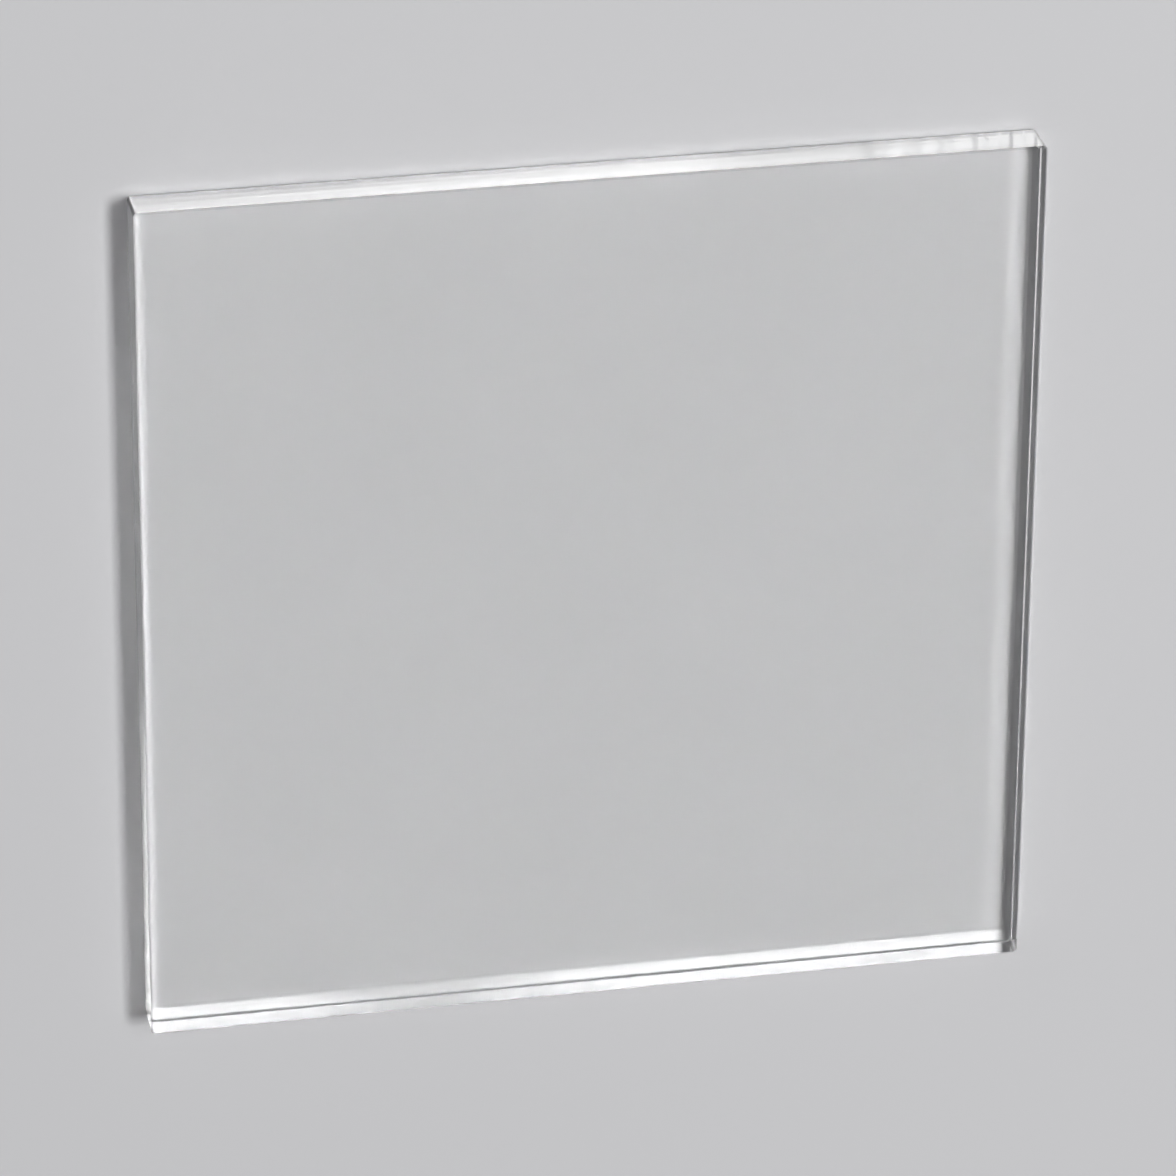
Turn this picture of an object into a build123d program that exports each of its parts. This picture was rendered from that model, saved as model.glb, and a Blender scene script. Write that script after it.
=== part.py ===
from build123d import *

import os

# A square of clear cast acrylic, sawn from a larger sheet and polished on its four edges.
# It is one solid piece. It lies flat, with its lower face on Z = 0 and the origin at the
# middle of that face. All sizes are in millimetres.

# The cut size, along X and along Y
sheet_length = 100.0
sheet_width = 100.0
# The thickness that the sheet was cast at
sheet_thickness = 5.0
# The radius that polishing leaves on the four upright corners
corner_radius = 0.5
# The width of the small bevel, or arris, along the rim of both faces
arris_width = 0.2

os.makedirs("parts", exist_ok=True)

with BuildPart() as acrylic_sheet:
    with BuildSketch(Plane.XY) as cut_outline:
        RectangleRounded(sheet_length, sheet_width, corner_radius)
    extrude(amount=sheet_thickness)
    # The rims are the outlines of the lower and the upper face, corners included
    lower_face, upper_face = faces().filter_by(Axis.Z).sort_by(Axis.Z)
    chamfer(lower_face.edges() + upper_face.edges(), length=arris_width)

acrylic_sheet.part.label = "acrylic_sheet"
export_step(acrylic_sheet.part, "parts/acrylic_sheet.step")
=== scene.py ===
import math

import bpy
from mathutils import Matrix, Quaternion, Vector


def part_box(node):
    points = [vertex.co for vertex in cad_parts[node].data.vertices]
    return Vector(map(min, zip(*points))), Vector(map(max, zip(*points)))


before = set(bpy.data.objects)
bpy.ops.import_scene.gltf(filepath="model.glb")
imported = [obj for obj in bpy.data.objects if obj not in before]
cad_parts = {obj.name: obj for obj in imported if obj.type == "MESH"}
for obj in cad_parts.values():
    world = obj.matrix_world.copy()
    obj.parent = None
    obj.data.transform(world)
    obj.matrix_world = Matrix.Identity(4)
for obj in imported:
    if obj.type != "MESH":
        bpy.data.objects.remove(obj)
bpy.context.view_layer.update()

MM = 0.001

# The photograph's camera, taken along with the sheet as that is laid flat: where it
# stands from the middle of the lower face, and the direction that is up in its picture
CAMERA_PLACE = Vector((-146.1, 353.0, 699.1)) * MM
PICTURE_UP = Vector((0.080, 0.903, -0.421))
# The share of the picture's width that the sheet takes up
SHEET_SHARE = 0.77
SENSOR_WIDTH = 36.0
NEAREST_SEEN = 0.05
FARTHEST_SEEN = 50.0
# Enough for light that goes along the sheet and back, off its two faces by turns
BOUNCES = 40

# The air under a flat sheet that lies on a table
AIR_GAP = 0.05 * MM
FLOOR_SIZE = 12.0
PAINT = "#C8C8CA"
PAINT_ROUGHNESS = 0.6
# Where the lamps' pool of light on the floor begins to fade, and where it is gone
POOL_RADIUS = 150 * MM
POOL_END = 450 * MM

# What one pass through the sheet leaves of the light, and how strongly PMMA bends it
ACRYLIC = "#F5F5F5"
ACRYLIC_IOR = 1.49
# The lines that polishing leaves on the edges: how far apart and how long they are, and how
# far they lean the surface. Real ones are finer, and too fine to show.
LINE_SPACING = 0.6 * MM
LINE_LENGTH = 30 * MM
LINE_LEAN = 0.02
# The edges' roughness between the lines, and what the lines add
POLISH_ROUGHNESS = 0.08
POLISH_VARIATION = 0.08

LAMP_DISTANCE = 2.0
# The light of the room's walls, which have the floor's tone, and that of its ceiling. The
# heights between which one becomes the other are those of a dome of radius 1.
WALL_LIGHT = 1.0
CEILING_LIGHT = 0.05
WALL_HEIGHT = 0.1
CEILING_HEIGHT = 0.35


def linear(hex_colour):
    """The linear colour of an sRGB hex value, with an alpha of 1."""
    channels = [int(hex_colour[i : i + 2], 16) / 255 for i in (1, 3, 5)]
    return (
        *[c / 12.92 if c <= 0.04045 else ((c + 0.055) / 1.055) ** 2.4 for c in channels],
        1.0,
    )


def add(tree, kind, inputs=None, **settings):
    """Adds one node with its settings, and sets or links its inputs by name or number."""
    node = tree.nodes.new(kind)
    for name, value in settings.items():
        setattr(node, name, value)
    for name, value in (inputs or {}).items():
        if isinstance(value, bpy.types.NodeSocket):
            tree.links.new(value, node.inputs[name])
        else:
            node.inputs[name].default_value = value
    return node


def new_material(name):
    """An empty node material."""
    material = bpy.data.materials.new(name)
    material.use_nodes = True
    material.node_tree.nodes.clear()
    return material, material.node_tree


def cast_acrylic():
    """Clear PMMA cast between plates of glass: colourless and mirror smooth on its two faces.
    Its sawn edges are polished, which leaves them a little softer, with faint lines along them."""
    material, tree = new_material("cast acrylic")
    source = add(tree, "ShaderNodeTexCoord").outputs
    place = add(tree, "ShaderNodeSeparateXYZ", {"Vector": source["Object"]}).outputs
    tilt = add(tree, "ShaderNodeSeparateXYZ", {"Vector": source["Normal"]}).outputs
    # flat is 1 on a face, a half on an arris and 0 on an edge, and steep the other way round
    flat = add(tree, "ShaderNodeMath", {0: tilt["Z"], 1: tilt["Z"]}, operation="MULTIPLY")
    steep = add(tree, "ShaderNodeMath", {0: 1.0, 1: flat.outputs[0]}, operation="SUBTRACT")
    # One of X and Y is constant on an edge, so their sum runs along it
    along = add(tree, "ShaderNodeMath", {0: place["X"], 1: place["Y"]}, operation="ADD")
    drawn = add(
        tree,
        "ShaderNodeMath",
        {0: along.outputs[0], 1: LINE_SPACING / LINE_LENGTH},
        operation="MULTIPLY",
    )
    strokes = add(tree, "ShaderNodeCombineXYZ", {"X": drawn.outputs[0], "Y": place["Z"]})
    lines = add(
        tree,
        "ShaderNodeTexNoise",
        {"Vector": strokes.outputs[0], "Scale": 1 / LINE_SPACING, "Detail": 0.0},
        noise_dimensions="2D",
    )
    # The lines lean the surface a little, one way and the other
    centred = add(
        tree,
        "ShaderNodeVectorMath",
        {0: lines.outputs["Color"], 1: (0.5, 0.5, 0.5)},
        operation="SUBTRACT",
    )
    lean = add(tree, "ShaderNodeMath", {0: steep.outputs[0], 1: LINE_LEAN}, operation="MULTIPLY")
    waves = add(
        tree,
        "ShaderNodeVectorMath",
        {0: centred.outputs[0], "Scale": lean.outputs[0]},
        operation="SCALE",
    )
    surface = add(tree, "ShaderNodeNewGeometry").outputs
    wavy = add(
        tree, "ShaderNodeVectorMath", {0: surface["Normal"], 1: waves.outputs[0]}, operation="ADD"
    )
    normal = add(tree, "ShaderNodeVectorMath", {0: wavy.outputs[0]}, operation="NORMALIZE")
    # The edges are polished, the arrises come between them and the mirror smooth faces
    sheen = add(
        tree,
        "ShaderNodeMath",
        {0: lines.outputs["Fac"], 1: POLISH_VARIATION, 2: POLISH_ROUGHNESS},
        operation="MULTIPLY_ADD",
    )
    roughness = add(
        tree, "ShaderNodeMath", {0: steep.outputs[0], 1: sheen.outputs[0]}, operation="MULTIPLY"
    )
    acrylic = add(
        tree,
        "ShaderNodeBsdfPrincipled",
        {
            "Base Color": linear(ACRYLIC),
            "Roughness": roughness.outputs[0],
            "IOR": ACRYLIC_IOR,
            "Transmission Weight": 1.0,
            "Normal": normal.outputs[0],
        },
    )
    add(tree, "ShaderNodeOutputMaterial", {"Surface": acrylic.outputs[0]})
    return material


def lay_floor():
    """A plain pale floor, matt, a hair below the sheet. Beyond the lamps' pool of light it keeps
    the same tone up to the horizon."""
    bpy.ops.mesh.primitive_plane_add(size=FLOOR_SIZE, location=(0, 0, -AIR_GAP))
    floor = bpy.context.object
    floor.name = "floor"
    material, tree = new_material("floor paint")
    paint = add(
        tree,
        "ShaderNodeBsdfPrincipled",
        {"Base Color": linear(PAINT), "Roughness": PAINT_ROUGHNESS},
    )
    even = add(tree, "ShaderNodeEmission", {"Color": linear(PAINT)})
    place = add(tree, "ShaderNodeTexCoord").outputs
    distance = add(tree, "ShaderNodeVectorMath", {0: place["Object"]}, operation="LENGTH")
    beyond = add(
        tree,
        "ShaderNodeMapRange",
        {"Value": distance.outputs["Value"], "From Min": POOL_RADIUS, "From Max": POOL_END},
        interpolation_type="SMOOTHSTEP",
    )
    both = add(
        tree,
        "ShaderNodeMixShader",
        {0: beyond.outputs[0], 1: paint.outputs[0], 2: even.outputs[0]},
    )
    add(tree, "ShaderNodeOutputMaterial", {"Surface": both.outputs[0]})
    material.cycles.emission_sampling = "NONE"
    floor.data.materials.append(material)


def light_room():
    """A pale ring of wall near the horizon, which the low views see, under a darker ceiling."""
    world = bpy.data.worlds.new("studio")
    bpy.context.scene.world = world
    world.use_nodes = True
    tree = world.node_tree
    tree.nodes.clear()
    place = add(tree, "ShaderNodeTexCoord").outputs
    height = add(tree, "ShaderNodeSeparateXYZ", {"Vector": place["Generated"]})
    wall = add(
        tree,
        "ShaderNodeMapRange",
        {
            "Value": height.outputs["Z"],
            "From Min": WALL_HEIGHT,
            "From Max": CEILING_HEIGHT,
            "To Min": WALL_LIGHT,
            "To Max": CEILING_LIGHT,
        },
        interpolation_type="SMOOTHSTEP",
    )
    light = add(
        tree, "ShaderNodeBackground", {"Color": linear(PAINT), "Strength": wall.outputs[0]}
    )
    add(tree, "ShaderNodeOutputWorld", {"Surface": light.outputs[0]})


def softbox(name, towards, width, height, share, turn=0.0):
    """A softbox in one direction from the sheet, which adds share to the light on a white
    floor. Its width lies along the sheet's X axis, or turn degrees away from it."""
    direction = Vector(towards).normalized()
    across = (Vector((1, 0, 0)) - direction * direction.x).normalized()
    data = bpy.data.lights.new(name, "AREA")
    data.shape = "RECTANGLE"
    data.size = width
    data.size_y = height
    # A small lamp of power P adds P z / (pi LAMP_DISTANCE)^2, where z is its direction's
    data.energy = share * math.pi**2 * LAMP_DISTANCE**2 / direction.z
    lamp = bpy.data.objects.new(name, data)
    bpy.context.scene.collection.objects.link(lamp)
    lamp.rotation_mode = "QUATERNION"
    facing = Matrix((across, direction.cross(across), direction)).transposed().to_quaternion()
    lamp.rotation_quaternion = facing @ Quaternion((0, 0, 1), math.radians(turn))
    lamp.location = direction * LAMP_DISTANCE


def hang_softboxes():
    """A large lamp on the right, and small ones where the sheet shows them. All shares and
    the room's own, about 0.07, make 1, at which a colour looks as it is written."""
    softbox("key", towards=(0.36, 0.12, 0.925), width=0.40, height=0.80, share=0.738)
    # These two make the -Y edge white, by way of the lower face
    softbox("rim", towards=(0.2225, 0.472, 0.857), width=0.23, height=0.16, share=0.042)
    softbox("corner", towards=(0.10, 0.478, 0.872), width=0.126, height=0.16, share=0.023)
    # Adds to both the -Y and the +Y edge
    softbox("back", towards=(-0.02, 0.385, 0.90), width=1.20, height=0.22, share=0.06)
    # These two shine through the sheet's length and make the +Y edge white. The first also
    # fills the upper face with its reflection, and ends where the +X edge begins.
    softbox(
        "front", towards=(0.18, -0.44, 0.88), width=0.347, height=0.44, share=0.0128, turn=-6.95
    )
    softbox("side", towards=(-0.22, -0.42, 0.88), width=0.36, height=0.40, share=0.0155)
    # These two light the arrises
    softbox("low front", towards=(0.0, -0.82, 0.55), width=1.40, height=0.35, share=0.015)
    softbox("low side", towards=(-0.89, -0.39, 0.245), width=0.40, height=0.40, share=0.0036)
    # These two lie as a soft gloss on the upper face for an eye that is low
    softbox("left fill", towards=(-0.64, 0.64, 0.42), width=1.00, height=0.50, share=0.0135)
    softbox("right fill", towards=(0.68, -0.68, 0.26), width=1.00, height=0.35, share=0.004)


def aim_camera(centre, sheet_width):
    """The photograph's viewing angle on the sheet, brought nearer by a longer lens."""
    data = bpy.data.cameras.new("camera")
    camera = bpy.data.objects.new("camera", data)
    bpy.context.scene.collection.objects.link(camera)
    bpy.context.scene.camera = camera
    ahead = (centre - CAMERA_PLACE).normalized()
    right = ahead.cross(PICTURE_UP).normalized()
    above = right.cross(ahead)
    camera.rotation_mode = "QUATERNION"
    camera.rotation_quaternion = Matrix((right, above, -ahead)).transposed().to_quaternion()
    camera.location = CAMERA_PLACE
    distance = (centre - CAMERA_PLACE).length
    data.sensor_width = SENSOR_WIDTH
    data.lens = SENSOR_WIDTH * SHEET_SHARE * distance / sheet_width
    data.clip_start = NEAREST_SEEN
    data.clip_end = FARTHEST_SEEN


def follow_light_through_the_sheet():
    """Lets light find its way through the sheet, sharp and at full strength."""
    scene = bpy.context.scene
    scene.cycles.blur_glossy = 0.0
    scene.cycles.sample_clamp_indirect = 0.0
    scene.cycles.max_bounces = BOUNCES
    scene.cycles.glossy_bounces = BOUNCES
    scene.cycles.transmission_bounces = BOUNCES


low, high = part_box("acrylic_sheet")
middle = (Vector(low) + Vector(high)) / 2
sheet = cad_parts["acrylic_sheet"]
sheet.material_slots[0].material = cast_acrylic()
lay_floor()
light_room()
hang_softboxes()
aim_camera(middle, high[0] - low[0])
follow_light_through_the_sheet()
# Colours show as they are written
bpy.context.scene.view_settings.view_transform = "Standard"
